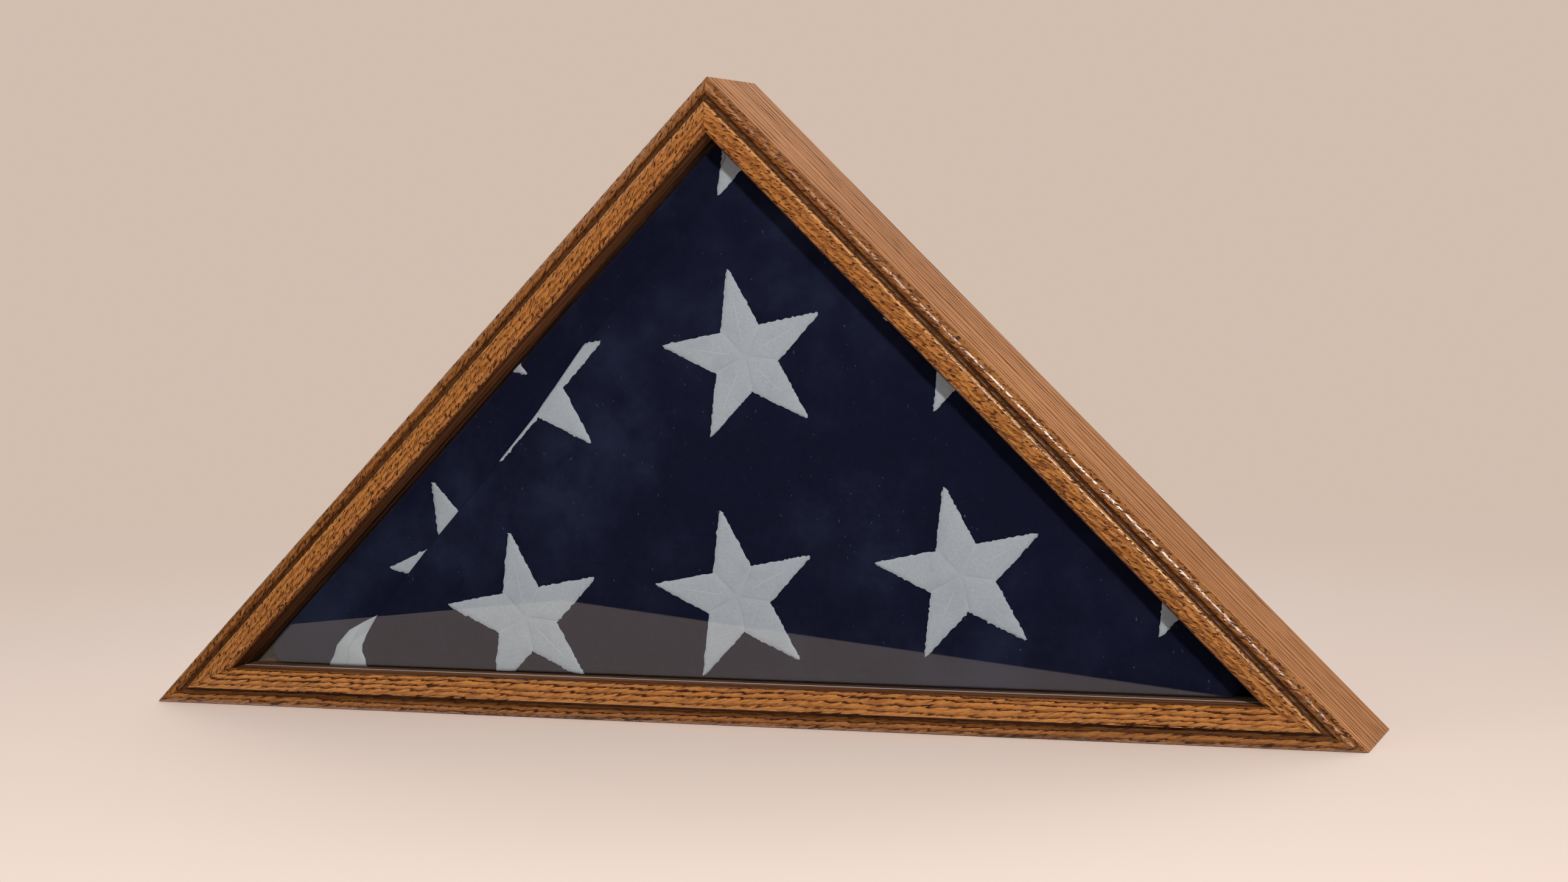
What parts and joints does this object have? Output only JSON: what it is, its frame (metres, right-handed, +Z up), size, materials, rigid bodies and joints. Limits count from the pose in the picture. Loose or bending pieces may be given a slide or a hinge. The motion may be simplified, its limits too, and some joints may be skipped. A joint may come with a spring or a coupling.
{
  "type": "folded flag display case",
  "caption": "Triangular oak display case with a mitred moulded front, glass pane and lift-off back held by turn buttons, showing a flag folded into a triangle.",
  "frame": {"origin": "on the surface the case stands on, under the middle of its bounding box", "axes": "+X along the base to the right of a viewer in front of the glass, +Y from the glass to the back, +Z up"},
  "size_m": [0.66, 0.081, 0.33],
  "materials": {
    "oak": "satin lacquer over stained oak",
    "key_plywood": "raw birch plywood, glued in",
    "back_plywood": "thin clear sealer on birch plywood",
    "clear_glass": "polished float glass",
    "navy_cloth": "plain-woven cotton bunting",
    "white_thread": "satin-stitched cotton thread",
    "plated_strip": "stamped and zinc plated",
    "plated_screw": "zinc plated"
  },
  "bodies": {
    "case": {"base_board": "oak", "left_side_board": "oak", "right_side_board": "oak", "left_spline": "key_plywood", "right_spline": "key_plywood", "apex_spline": "key_plywood", "glass_pane": "clear_glass", "folded_flag": "navy_cloth", "embroidered_stars": "white_thread", "turn_button_screws": "plated_screw"},
    "back": {"back_panel": "back_plywood"},
    "button_base_left": {"turn_button_base_left": "plated_strip"},
    "button_base_right": {"turn_button_base_right": "plated_strip"},
    "button_right_low": {"turn_button_right_low": "plated_strip"},
    "button_right_high": {"turn_button_right_high": "plated_strip"},
    "button_left_low": {"turn_button_left_low": "plated_strip"},
    "button_left_high": {"turn_button_left_high": "plated_strip"}
  },
  "joints": [
    {"name": "back_lift_off", "type": "slide", "parent": "case", "child": "back", "axis": [0, 1, 0], "range_m": [0, 0.08]},
    {"name": "button_base_left_turn", "type": "hinge", "parent": "case", "child": "button_base_left", "pos_m": [-0.18, 0.0375, 0.006], "axis": [0, 1, 0], "range_deg": [0, 180]},
    {"name": "button_base_right_turn", "type": "hinge", "parent": "case", "child": "button_base_right", "pos_m": [0.18, 0.0375, 0.006], "axis": [0, -1, 0], "range_deg": [0, 180]},
    {"name": "button_right_low_turn", "type": "hinge", "parent": "case", "child": "button_right_low", "pos_m": [0.22676, 0.0375, 0.09475], "axis": [0, 1, 0], "range_deg": [0, 180]},
    {"name": "button_right_high_turn", "type": "hinge", "parent": "case", "child": "button_right_high", "pos_m": [0.07354, 0.0375, 0.24798], "axis": [0, 1, 0], "range_deg": [0, 180]},
    {"name": "button_left_low_turn", "type": "hinge", "parent": "case", "child": "button_left_low", "pos_m": [-0.22676, 0.0375, 0.09475], "axis": [0, -1, 0], "range_deg": [0, 180]},
    {"name": "button_left_high_turn", "type": "hinge", "parent": "case", "child": "button_left_high", "pos_m": [-0.07354, 0.0375, 0.24798], "axis": [0, -1, 0], "range_deg": [0, 180]}
  ]
}
